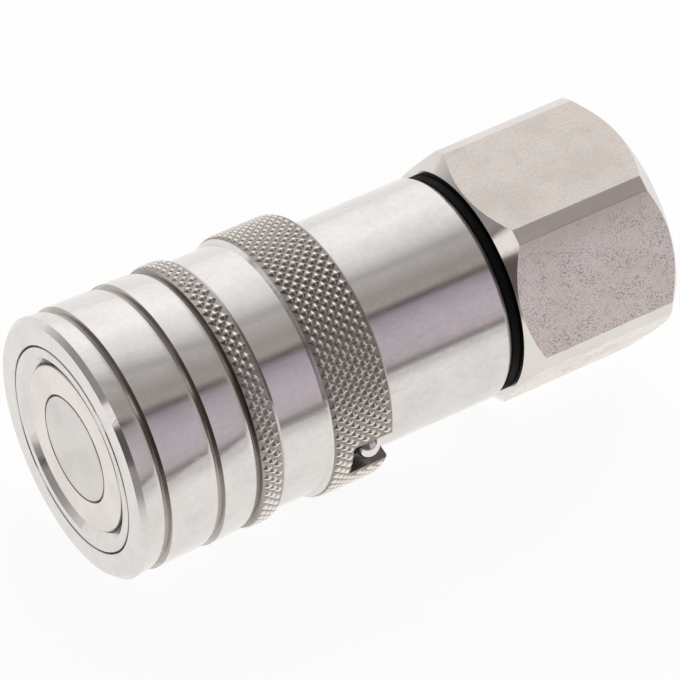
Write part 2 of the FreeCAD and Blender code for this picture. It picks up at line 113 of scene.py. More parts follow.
class Wire:
    """A node's output that takes part in Python arithmetic."""

    def __init__(self, sheet: "NodeSheet", socket: bpy.types.NodeSocket) -> None:
        """Wrap an output socket of a node on a sheet."""
        self.sheet = sheet
        self.socket = socket

    def _math(self, operation: str, first: Any, second: Any) -> "Wire":
        """Add a Math node for one operation."""
        return self.sheet.node("Math", {0: first, 1: second}, operation=operation)

    def __add__(self, other: Any) -> "Wire":
        """Add a value or a wire."""
        return self._math("ADD", self, other)

    __radd__ = __add__

    def __sub__(self, other: Any) -> "Wire":
        """Subtract a value or a wire."""
        return self._math("SUBTRACT", self, other)

    def __rsub__(self, other: Any) -> "Wire":
        """Subtract this wire from a value."""
        return self._math("SUBTRACT", other, self)

    def __mul__(self, other: Any) -> "Wire":
        """Multiply by a value or a wire."""
        return self._math("MULTIPLY", self, other)

    __rmul__ = __mul__

    def __truediv__(self, other: Any) -> "Wire":
        """Divide by a value or a wire."""
        return self._math("DIVIDE", self, other)

    def __pow__(self, other: Any) -> "Wire":
        """Raise to a power."""
        return self._math("POWER", self, other)

    def angle_over(self, other: Any) -> "Wire":
        """Give the angle of the arrow that this rises and the other runs along."""
        return self._math("ARCTAN2", self, other)

    def larger(self, other: Any) -> "Wire":
        """Give the larger of two values."""
        return self._math("MAXIMUM", self, other)

    def between(self, low: float, high: float) -> "Wire":
        """Map a span smoothly to 0 to 1, and clamp what lies outside it.

        Args:
            low: Value that gives 0.
            high: Value that gives 1.

        Returns:
            The mapped value.
        """
        inputs = {"Value": self, "From Min": low, "From Max": high}
        return self.sheet.node("MapRange", inputs, interpolation_type="SMOOTHSTEP")


class NodeSheet:
    """A node tree that is emptied and then grows as expressions are written."""

    def __init__(self, tree: bpy.types.NodeTree) -> None:
        """Take over a node tree."""
        self.tree = tree
        tree.nodes.clear()

    def node(
        self,
        kind: str,
        inputs: dict[str | int, Any],
        output: str | int = 0,
        **settings: Any,
    ) -> Wire:
        """Add a node.

        Args:
            kind: Blender's name of the node's type, without ShaderNode.
            inputs: Values or wires by socket name or number.
            output: Name or number of the socket that is wanted.
            settings: Values of the node itself; "stops" holds a ramp's places and colours.

        Returns:
            The wanted output as a wire.
        """
        made = self.tree.nodes.new(f"ShaderNode{kind}")
        for name, setting in settings.items():
            if name == "stops":
                self._set_stops(made.color_ramp, setting)
            else:
                setattr(made, name, setting)
        for name, value in inputs.items():
            if isinstance(value, Wire):
                self.tree.links.new(value.socket, made.inputs[name])
            else:
                made.inputs[name].default_value = value
        return Wire(self, made.outputs[output] if len(made.outputs) else None)

    @staticmethod
    def _set_stops(ramp: bpy.types.ColorRamp, stops: Stops) -> None:
        """Give a colour ramp its stops in order.

        Args:
            ramp: The new ramp.
            stops: Places from 0 to 1 with their colours.
        """
        while len(ramp.elements) < len(stops):
            ramp.elements.new(1.0)
        for element, (place, colour) in zip(ramp.elements, stops):
            element.position = place
            element.color = (*colour, 1.0)

    def noise(
        self, vector: Wire, scale: float = 1.0, detail: float = 2.0, rough: float = 0.5
    ) -> Wire:
        """Add a noise texture.

        Args:
            vector: Coordinates that it reads.
            scale: Number of blots along one unit.
            detail: Octaves.
            rough: Share of the finer octaves.

        Returns:
            A value about 0.5.
        """
        inputs = {"Vector": vector, "Scale": scale, "Detail": detail, "Roughness": rough}
        return self.node("TexNoise", inputs)

    def bump(self, strength: float, depth: float, height: Wire, **under: Wire) -> Wire:
        """Add a bump, over another one where that is given as Normal.

        Args:
            strength: Share of the bump that shows.
            depth: Depth in metres.
            height: Height from 0 to 1.
            under: The other bump.

        Returns:
            The bumped normal.
        """
        inputs = {"Strength": strength, "Distance": depth, "Height": height, **under}
        return self.node("Bump", inputs, "Normal")

    def vector(self, x: Any, y: Any, z: Any) -> Wire:
        """Join three values to a vector."""
        return self.node("CombineXYZ", {0: x, 1: y, 2: z})

    def split(self, vector: Wire) -> tuple[Wire, Wire, Wire]:
        """Take a vector apart.

        Args:
            vector: The vector.

        Returns:
            Its three values.
        """
        first = self.node("SeparateXYZ", {0: vector})
        outputs = first.socket.node.outputs
        return first, Wire(self, outputs[1]), Wire(self, outputs[2])

    def around(self, place: Wire) -> tuple[Wire, Wire, Wire, Wire]:
        """Take a place apart and add its distance from the axis."""
        along, side, up = self.split(place)
        return along, side, up, (side * side + up * up) ** 0.5

    def mix_colour(self, factor: Any, first: Any, second: Any) -> Wire:
        """Mix two colours, each a wire or three numbers, by a factor."""
        ends = [end if isinstance(end, Wire) else (*end, 1.0) for end in (first, second)]
        return self.node("Mix", {0: factor, 6: ends[0], 7: ends[1]}, 2, data_type="RGBA")


@dataclass(frozen=True)
class Finish:
    """A named surface, which a subclass paints."""

    name: str

    def material(self) -> bpy.types.Material:
        """Make the material.

        Returns:
            A new node material.
        """
        made = bpy.data.materials.new(self.name)
        made.use_nodes = True
        sheet = NodeSheet(made.node_tree)
        place = sheet.node("TexCoord", {}, "Object")
        shader = sheet.node("BsdfPrincipled", self.paint(place))
        sheet.node("OutputMaterial", {"Surface": shader})
        return made

    def paint(self, place: Wire) -> dict[str, Any]:
        """Work out the shader's inputs by socket name from Object coordinates."""
        raise NotImplementedError


@dataclass(frozen=True)
class SteelFinish(Finish):
    """Bare steel with the marks of its tool, dull patches, scratches, pits, specks, dark oil in its
    seams, painted shade under the notch and painted shade towards the top.

    Seams are radii, and the tail, the notch's painted shade and the calm front are stations, in mm.
    The top shade's span is of heights, and the notch shade's of distances from the axis towards the
    notch's top, in metres.
    """

    colour: Colour
    dull: Colour
    roughness: float
    grain: Grain
    line_mm: float = 0.22
    line_depth: float = 0.12
    scratch: float = 0.0
    pit: float = 0.0
    pit_mm: float = 0.6
    blotch: float = 0.5
    grit: float = 0.0
    # Painted shade: how far the steel darkens towards the top.
    top_shade: float = 0.0
    seams: Sequence[float] = ()
    tail: float = 0.0
    # Stations of the painted shade on the barrel under the notch.
    notch_shade: Sequence[float] = ()
    calm: float = 0.0
    haze: float = 0.0
    top_shade_span: Span = (0.011, 0.0195)
    notch_shade_span: Span = (0.0158, 0.0161)

    def paint(self, place: Wire) -> dict[str, Any]:
        """Paint the steel from its dull patches up to its marks.

        Args:
            place: Object coordinates.

        Returns:
            The shader's inputs.
        """
        sheet = place.sheet
        lines = self._lines(place)
        patches = sheet.noise(place, scale=170.0, detail=4.0, rough=0.55).between(0.38, 0.68)
        mottle = sheet.noise(place, scale=1300.0, detail=3.0, rough=0.65).between(0.36, 0.64) * self.haze
        pits = sheet.noise(place, scale=1.0 / (self.pit_mm * MM), detail=3.0, rough=0.7)
        dents = pits.between(0.51, 0.40)
        scratches = self._scratches(place)
        worn = patches * self.blotch + lines * 0.15 + mottle
        colour = sheet.mix_colour(worn, self.colour, self.dull)
        if self.grit:
            colour = self._specks(place, dents, colour)
        if self.seams:
            # Dark oil in the seams and at the tail, and painted shade under the notch.
            colour = sheet.mix_colour(self._soot_and_shade(place), colour, SOOT_AND_SHADE)
        if self.scratch:
            colour = sheet.mix_colour(scratches * (0.5 * self.scratch), colour, self.dull)
        rough = self.roughness * (0.86 + 0.28 * patches) + lines * (0.16 * self.roughness)
        rough = rough + scratches * (0.2 * self.scratch) + dents * (0.08 * self.pit) + mottle * 0.06
        relief = lines
        if self.calm:
            relief = lines * sheet.split(place)[0].between(station(self.calm), station(2 * self.calm))
        bump = sheet.bump(self.line_depth, LINE_BUMP, relief)
        if self.pit:
            bump = sheet.bump(self.pit, PIT_BUMP, pits, Normal=bump)
        return {"Base Color": colour, "Metallic": 1.0, "Roughness": rough, "Normal": bump}

    def _specks(self, place: Wire, dents: Wire, colour: Wire) -> Wire:
        """Lay dark specks, fewer towards the top, and painted shade that darkens the steel towards the top.

        Args:
            place: Object coordinates.
            dents: Value of 1 in a pit.
            colour: Colour of the clean steel.

        Returns:
            The specked colour.
        """
        sheet = place.sheet
        red, green, blue = self.dull
        height = sheet.split(place)[2].between(*self.top_shade_span)
        drift = sheet.noise(place, scale=520.0, detail=3.0, rough=0.65).between(0.36, 0.64)
        specks = dents * (0.25 + 0.75 * drift) * (1.0 - 0.7 * height)
        colour = sheet.mix_colour(specks * self.grit, colour, (0.46 * red, 0.46 * green, 0.46 * blue))
        # Painted shade: the steel darkens towards the top.
        return sheet.mix_colour(height * self.top_shade, colour, (0.62 * red, 0.59 * green, 0.57 * blue))

    def _lines(self, place: Wire) -> Wire:
        """Make the lines that the tool left.

        Args:
            place: Object coordinates.

        Returns:
            A value about 0.5 that changes across the lines.
        """
        sheet = place.sheet
        along, side, up, out = sheet.around(place)
        fine = 1.0 / (self.line_mm * MM)
        if self.grain is Grain.TURNED:
            drift = sheet.noise(place, scale=60.0, detail=1.0) * 0.6
            rings = sheet.vector(along * fine + drift, out * fine, drift)
            return sheet.noise(rings, detail=3.0, rough=0.65)
        if self.grain is Grain.DRAWN:
            stretched = sheet.vector(along * (fine * 0.03), side * fine, up * fine)
            return sheet.noise(stretched, detail=3.0, rough=0.6)
        return sheet.noise(place, scale=fine * 0.4)

    def _soot_and_shade(self, place: Wire) -> Wire:
        """Make the dark oil in the seams of the front face and at the tail, and the painted shade on the
        barrel under the notch.

        Args:
            place: Object coordinates.

        Returns:
            A value of 0 on clean steel and up to 1 in oil or painted shade.
        """
        along, side, up, out = place.sheet.around(place)
        shares = []
        for radius in self.seams:
            off = (out - radius * MM) / SEAM_HALF_WIDTH
            near_face = along.between(*map(station, SEAM_DEPTH))
            shares.append((off * off).between(1.0, 0.35) * near_face * 0.85)
        if self.tail:
            rear = along.between(station(self.tail), station(self.tail + 0.6))
            shares.append(rear * 0.7)
        # Painted shade on the barrel under the sleeve's notch.
        if self.notch_shade:
            first, last = self.notch_shade
            towards = up * math.sin(NOTCH_TURN) - side * math.cos(NOTCH_TURN)
            under_notch = along.between(station(first), station(first + 0.3))
            under_notch = under_notch * along.between(station(last + 0.8), station(last))
            shares.append(under_notch * towards.between(*self.notch_shade_span) * 0.93)
        return reduce(Wire.larger, shares)

    @staticmethod
    def _scratches(place: Wire) -> Wire:
        """Make short thin scratches that run in several directions.

        Args:
            place: Object coordinates.

        Returns:
            A value of 0 on clean steel and up to 1 in a scratch.
        """
        streaks = []
        for turned, (coarse, fine) in ((0.35, (260.0, 5200.0)), (1.25, (210.0, 4300.0))):
            turn = (turned, 0.5 * turned, turned)
            inputs = {"Vector": place, "Rotation": turn, "Scale": (coarse, fine, coarse)}
            laid = place.sheet.node("Mapping", inputs)
            streaks.append(place.sheet.noise(laid).between(0.64, 0.73))
        return reduce(Wire.larger, streaks)


@dataclass(frozen=True)
class KnurlFinish(Finish):
    """Rolled steel, bright on its points, with painted shade towards the bottom of its grooves and
    painted shade on the flanks that lean one way about the axis, less on the far side.

    The flank shade's span is of the flanks' lean about the axis, and the far side's fade runs
    across the axis in metres.
    """

    tip: Colour
    # Colour at the bottom of the grooves, darkened as painted shade.
    shaded_root: Colour
    root_mm: float
    tip_mm: float
    # Painted shade on the flanks that lean one way, and how it fades on the far side.
    flank_shade: float = 0.62
    flank_shade_span: Span = (-0.03, -0.28)
    far_side_fade: float = 0.6
    far_side_fade_span: Span = (-0.005, 0.004)
    roughness: float = 0.19

    def paint(self, place: Wire) -> dict[str, Any]:
        """Paint the steel by its height, with painted shade towards the bottom of its grooves, and then the
        painted shade on its flanks.

        Args:
            place: Object coordinates.

        Returns:
            The shader's inputs.
        """
        sheet = place.sheet
        _, side, _, out = sheet.around(place)
        worn = sheet.noise(place, scale=700.0, detail=3.0, rough=0.6)
        height = (out + (worn - 0.5) * (0.12 * MM)).between(self.root_mm * MM, self.tip_mm * MM)
        skin = sheet.noise(place, scale=6000.0)
        flank = sheet.node("Attribute", {}, "Fac", attribute_name=FLANK)
        # Painted shade: the colour darkens from the points down to the bottom of the grooves.
        colour = sheet.mix_colour(height, self.shaded_root, self.tip)
        # Painted shade on the flanks that lean one way about the axis, weaker on the far side.
        flank_shade = (1.0 - side.between(*self.far_side_fade_span) * self.far_side_fade) * self.flank_shade
        colour = sheet.mix_colour(flank.between(*self.flank_shade_span) * flank_shade, colour, FLANK_SHADE)
        rough = self.roughness * (1.5 - 0.5 * height) + (skin - 0.5) * 0.1
        bump = sheet.bump(0.25, SKIN_BUMP, skin)
        return {"Base Color": colour, "Metallic": 1.0, "Roughness": rough, "Normal": bump}


@dataclass(frozen=True)
class RubberFinish(Finish):
    """Moulded black rubber with a fine bloom."""

    colour: Colour
    bloom: Colour
    roughness: float = 0.55
    gloss: float = 0.35

    def paint(self, place: Wire) -> dict[str, Any]:
        """Paint the bloom and a fine skin.

        Args:
            place: Object coordinates.

        Returns:
            The shader's inputs.
        """
        sheet = place.sheet
        bloom = sheet.noise(place, scale=300.0, detail=4.0, rough=0.6).between(0.45, 0.75)
        skin = sheet.noise(place, scale=4200.0)
        colour = sheet.mix_colour(bloom * 0.6, self.colour, self.bloom)
        rough = self.roughness + bloom * 0.15
        bump = sheet.bump(0.2, SKIN_BUMP, skin)
        inputs = {"Base Color": colour, "Roughness": rough, "Normal": bump}
        return {**inputs, "Specular IOR Level": self.gloss}


@dataclass(frozen=True)
class PlasticFinish(Finish):
    """Machined pale plastic with faint turning marks."""

    colour: Colour
    dull: Colour

    def paint(self, place: Wire) -> dict[str, Any]:
        """Paint the rings that the tool left.

        Args:
            place: Object coordinates.

        Returns:
            The shader's inputs.
        """
        sheet = place.sheet
        along, _, _, out = sheet.around(place)
        rings = sheet.noise(sheet.vector(along, out, 0.0), scale=3000.0)
        colour = sheet.mix_colour(rings * 0.7, self.colour, self.dull)
        bump = sheet.bump(0.2, SKIN_BUMP, rings)
        return {"Base Color": colour, "Roughness": 0.35 + rings * 0.15, "Normal": bump}


class Bench:
    """Tools of the modelling bench, each of which makes or shapes a mesh by operators."""

    @staticmethod
    def clear() -> None:
        """Leave nothing selected, in object mode."""
        if bpy.context.object and bpy.context.object.mode != "OBJECT":
            bpy.ops.object.mode_set(mode="OBJECT")
        bpy.ops.object.select_all(action="DESELECT")

    @staticmethod
    def sweep_out_defaults() -> None:
        """Remove the cube, lamp and camera of a new Blender file."""
        for name in ("Cube", "Light", "Camera"):
            found = bpy.data.objects.get(name)
            if found:
                bpy.data.objects.remove(found)

    @staticmethod
    def section(name: str, corners: Sequence[Corner]) -> Piece:
        """Draw a closed half section by extruding one point from corner to corner.

        Args:
            name: Name of the new object.
            corners: Station and radius of each corner in mm.

        Returns:
            The new object, in edit mode with all of it selected.
        """
        Bench.clear()
        bpy.ops.mesh.primitive_plane_add(size=MM)
        piece = bpy.context.object
        piece.name = name
        piece.data.name = name
        bpy.ops.object.mode_set(mode="EDIT")
        bpy.ops.mesh.select_mode(type="VERT")
        bpy.ops.mesh.select_all(action="SELECT")
        bpy.ops.mesh.merge(type="CENTER")
        spots = [Vector((station(t), r * MM, 0.0)) for t, r in corners]
        bpy.ops.transform.translate(value=spots[0])
        for here, there in zip(spots, spots[1:] + spots[:1]):
            bpy.ops.mesh.extrude_region_move(TRANSFORM_OT_translate={"value": there - here})
        Bench.weld()
        return piece

    @staticmethod
    def weld() -> None:
        """Join the points of the edited mesh that lie in one place."""
        bpy.ops.mesh.select_all(action="SELECT")
        bpy.ops.mesh.remove_doubles(threshold=WELD)

    @staticmethod
    def spin(steps: int) -> None:
        """Turn the drawn section about the coupling's axis and close the seam.

        Args:
            steps: Faces round the axis.
        """
        bpy.ops.mesh.select_all(action="SELECT")
        bpy.ops.mesh.spin(steps=steps, angle=2 * math.pi, center=(0, 0, 0), axis=(1, 0, 0))
        Bench.weld()
        bpy.ops.mesh.normals_make_consistent(inside=False)

    @staticmethod
    def pick(piece: Piece, kind: str, wanted: Callable[[Any], bool]) -> None:
        """Select in edit mode the elements that pass a test, and nothing else.

        Args:
            piece: Object in edit mode.
            kind: "VERT", "EDGE" or "FACE".
            wanted: Test of one element.
        """
        bpy.ops.mesh.select_mode(type=kind)
        bpy.ops.mesh.select_all(action="DESELECT")
        mesh = bmesh.from_edit_mesh(piece.data)
        mesh.normal_update()
        elements = {"VERT": mesh.verts, "EDGE": mesh.edges, "FACE": mesh.faces}[kind]
        for element in [element for element in elements if wanted(element)]:
            element.select_set(True)
        mesh.select_flush_mode()
        bmesh.update_edit_mesh(piece.data)

    @staticmethod
    def edit(piece: Piece) -> None:
        """Open one piece in edit mode.

        Args:
            piece: The piece.
        """
        Bench.clear()
        bpy.context.view_layer.objects.active = piece
        bpy.ops.object.mode_set(mode="EDIT")

    @staticmethod
    def coat(piece: Piece, materials: Sequence[bpy.types.Material]) -> None:
        """Give a piece new materials.

        Args:
            piece: The piece.
            materials: One for each slot.
        """
        piece.data.materials.clear()
        for material in materials:
            piece.data.materials.append(material)

    @staticmethod
    def assign(piece: Piece, slot: int, wanted: Callable[[Any], bool]) -> None:
        """Give the faces that pass a test the material of a slot.

        Args:
            piece: Object in object mode.
            slot: Number of the slot.
            wanted: Test of one face.
        """
        Bench.edit(piece)
        Bench.pick(piece, "FACE", wanted)
        piece.active_material_index = slot
        bpy.ops.object.material_slot_assign()
        bpy.ops.object.mode_set(mode="OBJECT")

    @staticmethod
    def coil(piece: Piece, turns: float, height: float, steps: int) -> None:
        """Wind a drawn closed outline about the coupling's axis into a capped coil.

        Args:
            piece: Object with the outline, in object mode.
            turns: Turns of the coil.
            height: Advance along the axis in mm over all turns.
            steps: Faces round one turn.
        """
        winding = piece.modifiers.new("winding", "SCREW")
        winding.axis = "X"
        winding.angle = turns * 2 * math.pi
        winding.screw_offset = height * MM
        winding.iterations = 1
        winding.steps = winding.render_steps = round(steps * turns)
        bpy.context.view_layer.objects.active = piece
        bpy.ops.object.modifier_apply(modifier=winding.name)
        bpy.ops.object.mode_set(mode="EDIT")
        bpy.ops.mesh.select_all(action="SELECT")
        bpy.ops.mesh.fill_holes(sides=0)
        bpy.ops.mesh.select_all(action="SELECT")
        bpy.ops.mesh.normals_make_consistent(inside=False)
        bpy.ops.object.mode_set(mode="OBJECT")

    @staticmethod
    def subtract(piece: Piece, tool: Piece) -> None:
        """Cut one object out of another and put the tool away.

        Args:
            piece: Object that is cut.
            tool: Closed object that is taken out of it.
        """
        Bench.clear()
        cutting = piece.modifiers.new("cutting", "BOOLEAN")
        cutting.operation = "DIFFERENCE"
        cutting.solver = "EXACT"
        cutting.object = tool
        bpy.context.view_layer.objects.active = piece
        bpy.ops.object.modifier_apply(modifier=cutting.name)
        bpy.data.objects.remove(tool)

    @staticmethod
    def smooth(piece: Piece, degrees: float) -> None:
        """Shade a piece smoothly up to an edge angle.

        Args:
            piece: The piece.
            degrees: Angle above which an edge stays sharp.
        """
        Bench.clear()
        piece.select_set(True)
        bpy.context.view_layer.objects.active = piece
        bpy.ops.object.shade_smooth_by_angle(angle=math.radians(degrees))
        bpy.ops.object.select_all(action="DESELECT")


@dataclass
class Knurl:
    """A band of raised points between two stations, in mm."""

    front: float
    end: float
    half_rows: int
    tip_radius: float
    depth: float = 0.42
    blunt: float = 0.05
    cuts: int = 3

    @property
    def root_radius(self) -> float:
        """Radius at the bottom of the grooves."""
        return self.tip_radius - self.depth

    @property
    def step(self) -> float:
        """Length of half a row."""
        return (self.end - self.front) / self.half_rows

    def corners(self) -> list[Corner]:
        """Give the corners of the section at each half row."""
        rows = range(self.half_rows + 1)
        return [(self.front + self.step * row, self.root_radius) for row in rows]

    def row_of(self, point: Vector) -> int:
        """Give the number of the half row that a point lies on."""
        return round(((point.x / MM + FACE_RECESS) - self.front) / self.step)

    def holds(self, point: Vector) -> bool:
        """Tell whether a point lies in the band, at its root or above it."""
        inside = station(self.front) - 1e-6 < point.x < station(self.end) + 1e-6
        return inside and off_axis(point) > (self.root_radius - 0.02) * MM

    def holds_all(self, part: bmesh.types.BMEdge | bmesh.types.BMFace) -> bool:
        """Tell whether all corners of an edge or a face lie in the band."""
        return all(self.holds(corner.co) for corner in part.verts)


@dataclass
class LockingSleeve:
    """The knurled sleeve that is pulled to let the nipple go. Sizes are in mm."""

    length: float = 39.6
    bore: float = 15.1
    rear_bore: float = 16.6
    lip_radius: float = 19.1
    skin_radius: float = 18.85
    groove_floor: float = 18.2
    groove_run: float = 1.5
    groove_heel: Corner = (0.5, 0.3)
    front_chamfer: float = 0.75
    lips: tuple[float, float] = (4.45, 12.75)
    waist_radius: float = 18.35
    band_fall: float = 0.6
    grip_start: float = 29.6
    rim_radius: float = 18.63
    notch_length: float = 6.4
    notch_width: float = 6.1
    notch_corner: float = 0.5
    notch_overrun: float = 2.0
    notch_floor: float = 14.0
    notch_top: float = 22.0
    columns: int = 74
    seam_chamfer: float = 0.2
    smooth_angle: float = 22.0
    band: Knurl = field(default_factory=lambda: Knurl(18.7, 22.0, 4, 19.35))
    grip: Knurl = field(default_factory=lambda: Knurl(30.0, 39.3, 11, 19.4))
    inside: Sequence[Corner] = (
        (21.95, 16.6), (21.95, 15.1), (20.05, 15.1), (20.05, 16.0), (13.5, 16.0), (13.5, 15.1),
        (9.51, 15.1), (4.0, 16.848), (1.9, 16.848), (1.9, 15.1),
    )

    def section(self) -> list[Corner]:
        """Draw the half section.

        Returns:
            Its corners from the front round to the bore.
        """
        outside = [
            (self.seam_chamfer, self.bore),
            (0.0, self.bore + self.seam_chamfer),
            (0.0, self.lip_radius - self.front_chamfer),
            (self.front_chamfer, self.lip_radius),
        ]
        heel_run, heel_drop = self.groove_heel
        for lip in (*self.lips, self.band.front):
            outside += [
                (lip - self.groove_run, self.skin_radius),
                (lip - heel_run, self.skin_radius - heel_drop),
                (lip, self.groove_floor),
            ]
            if lip != self.band.front:
                outside.append((lip, self.lip_radius))
        outside += self.band.corners()
        for place in (self.band.end + self.band_fall, self.grip_start):
            outside.append((place, self.waist_radius))
        outside += self.grip.corners()
        outside += [(self.length, self.rim_radius), (self.length, self.rear_bore)]
        return outside + list(self.inside)

    def build(self) -> Piece:
        """Turn, knurl and notch the sleeve.

        Returns:
            The finished piece on its body.
        """
        piece = Bench.section("knurled_sleeve", self.section())
        Bench.spin(2 * self.columns)
        for knurl in (self.band, self.grip):
            self._roll_knurl(piece, knurl)
        bpy.ops.object.mode_set(mode="OBJECT")
        self._cut_notch(piece)
        Bench.smooth(piece, self.smooth_angle)
        self._soften_knurl(piece)
        piece.data.transform(Matrix.Rotation(NOTCH_TURN, 4, "X"))
        self._mark_flanks(piece)
        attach(piece, "sleeve")
        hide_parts("locking_sleeve")
        return piece

    def _column_of(self, point: Vector) -> int:
        """Give the number of the half column that a point lies on."""
        return round(math.degrees(math.atan2(point.z, point.y)) * 2 * self.columns / 360.0)

    def _near_notch(self, point: Vector, margin: float = 0.45) -> bool:
        """Tell whether a point lies in the notch or near it.

        Args:
            point: A point of the sleeve before it is turned to its place.
            margin: How near in mm.

        Returns:
            True in the notch and in the margin.
        """
        beside = abs(point.z) > (self.notch_width / 2 + margin) * MM
        before = point.x < station(self.length - self.notch_length - margin)
        return point.y < 0.0 and not beside and not before

    def _roll_knurl(self, piece: Piece, knurl: Knurl) -> None:
        """Raise every other crossing of the grid in a band to a blunt point.

        Args:
            piece: The sleeve in edit mode, spun with two steps for each column.
            knurl: The band.
        """

        def is_tip(corner: bmesh.types.BMVert) -> bool:
            """Tell whether a crossing becomes a point.

            Args:
                corner: Crossing of the grid.

            Returns:
                True at every other crossing inside the band.
            """
            if not knurl.holds(corner.co) or self._near_notch(corner.co):
                return False
            row = knurl.row_of(corner.co)
            return 0 < row < knurl.half_rows and (row + self._column_of(corner.co)) % 2 == 1

        Bench.pick(piece, "VERT", is_tip)
        lift = knurl.tip_radius / knurl.root_radius
        bpy.ops.transform.resize(value=(1.0, lift, lift), center_override=(0, 0, 0))
        Bench.pick(piece, "FACE", knurl.holds_all)
        bpy.ops.mesh.quads_convert_to_tris(quad_method="SHORTEST_DIAGONAL")
        bpy.ops.mesh.subdivide(number_cuts=knurl.cuts)
        tip = (knurl.tip_radius - 0.1 * knurl.depth) * MM
        Bench.pick(piece, "VERT", lambda corner: knurl.holds(corner.co) and off_axis(corner.co) > tip)
        drop = 1.0 - knurl.blunt / knurl.tip_radius
        bpy.ops.transform.resize(value=(1.0, drop, drop), center_override=(0, 0, 0))

    def _soften_knurl(self, piece: Piece) -> None:
        """Let the facets of the knurl shade into each other, as rolled points do.

        Args:
            piece: The sleeve in object mode.
        """
        Bench.edit(piece)
        for knurl in (self.band, self.grip):
            first, last = station(knurl.front) + 1e-6, station(knurl.end) - 1e-6
            Bench.pick(
                piece,
                "EDGE",
                lambda edge: knurl.holds_all(edge)
                and any(first < v.co.x < last for v in edge.verts)
                and not any(self._near_notch(v.co, 0.05) for v in edge.verts),
            )
            bpy.ops.mesh.mark_sharp(clear=True)
        bpy.ops.object.mode_set(mode="OBJECT")

    @staticmethod
    def _mark_flanks(piece: Piece) -> None:
        """Keep at every corner of the mesh how far its normal leans about the axis.

        Args:
            piece: The sleeve in object mode.
        """
        mesh = piece.data
        flanks = mesh.attributes.new(FLANK, "FLOAT", "CORNER")
        for loop, normal, flank in zip(mesh.loops, mesh.corner_normals, flanks.data):
            _, side, up = mesh.vertices[loop.vertex_index].co
            flank.value = (normal.vector.y * up - normal.vector.z * side) / math.hypot(side, up)

    def _cut_notch(self, piece: Piece) -> None:
        """Cut the notch for the safety ball through the rear rim.

        Args:
            piece: The sleeve in object mode.
        """
        Bench.clear()
        bpy.ops.mesh.primitive_cube_add(size=1.0)
        tool = bpy.context.object
        bpy.ops.object.mode_set(mode="EDIT")
        bpy.ops.mesh.select_all(action="SELECT")
        reach = self.notch_length + self.notch_overrun
        deep = self.notch_top - self.notch_floor
        bpy.ops.transform.resize(value=(reach * MM, deep * MM, self.notch_width * MM))
        Bench.pick(
            tool,
            "EDGE",
            lambda edge: all(v.co.x < 0 for v in edge.verts)
            and abs(edge.verts[0].co.y - edge.verts[1].co.y) > MM,
        )
        bpy.ops.mesh.bevel(offset=self.notch_corner * MM, segments=4)
        bpy.ops.mesh.select_all(action="SELECT")
        middle = station(self.length - self.notch_length + reach / 2)
        height = (self.notch_floor + self.notch_top) / 2
        bpy.ops.transform.translate(value=(middle, -height * MM, 0.0))
        bpy.ops.object.mode_set(mode="OBJECT")
        Bench.subtract(piece, tool)

    def dress(self, piece: Piece) -> None:
        """Give the sleeve its polished turned finish, the two bands their knurled one, and its steps and
        the notch's walls darker steel as painted shade.

        Args:
            piece: The finished sleeve.
        """
        polished = SteelFinish(
            "polished_sleeve_steel", (0.79, 0.77, 0.757), (0.71, 0.688, 0.673), 0.10, Grain.TURNED,
            line_mm=0.25, line_depth=0.18, scratch=0.7, haze=0.4, seams=(15.05,),
        )
        narrow = KnurlFinish(
            "narrow_knurl_steel", (0.92, 0.89, 0.85), (0.42, 0.385, 0.355), 18.93, 19.18,
        )
        wide = KnurlFinish(
            "wide_knurl_steel", (0.92, 0.88, 0.82), (0.34, 0.305, 0.275), 18.98, 19.24,
        )
        # Painted shade: darker copies of the steel for the steps of the grooves and the grip, and darker
        # still for the step before the narrow band.
        shaded_wall = SteelFinish(
            "shaded_groove_wall_steel", (0.57, 0.535, 0.51), (0.50, 0.465, 0.44), 0.16, Grain.TURNED,
        )
        shaded_foot = SteelFinish(
            "shaded_knurl_foot_steel", (0.40, 0.365, 0.34), (0.32, 0.29, 0.27), 0.20, Grain.TURNED,
        )
        # Painted shade: a darker copy of the steel for the notch's walls.
        milled = SteelFinish(
            "shaded_notch_wall_steel", (0.34, 0.31, 0.29), (0.24, 0.215, 0.20), 0.28, Grain.DRAWN,
        )
        coats = (polished, narrow, wide, shaded_wall, shaded_foot, milled)
        Bench.coat(piece, [coat.material() for coat in coats])
        for slot, knurl in ((1, self.band), (2, self.grip)):
            Bench.assign(piece, slot, knurl.holds_all)
        rise = (self.grip_start + self.grip.front) / 2
        # Painted shade: the steps take the darker steel.
        Bench.assign(piece, 3, lambda face: self._is_wall(face, (*self.lips, rise)))
        Bench.assign(piece, 4, lambda face: self._is_wall(face, (self.band.front,)))
        # Painted shade: the notch's walls take the darker steel.
        Bench.assign(piece, 5, self._is_notch)

    def _is_notch(self, face: bmesh.types.BMFace) -> bool:
        """Tell whether a face is a wall of the notch.

        Args:
            face: A face of the finished sleeve.

        Returns:
            True on the notch's walls.
        """
        middle = Matrix.Rotation(-NOTCH_TURN, 3, "X") @ face.calc_center_median()
        rear = station(self.length) - 0.05 * MM
        return self._near_notch(middle, 0.02) and middle.x < rear

    def _is_wall(self, face: bmesh.types.BMFace, places: Sequence[float]) -> bool:
        """Tell whether a face is a step of the outside.

        Args:
            face: A face of the finished sleeve.
            places: Stations of the steps that count.

        Returns:
            True on such a step.
        """
        middle = face.calc_center_median()
        beside = any(abs(middle.x - station(place)) < 0.05 * MM for place in places)
        return beside and off_axis(middle) > self.groove_floor * MM


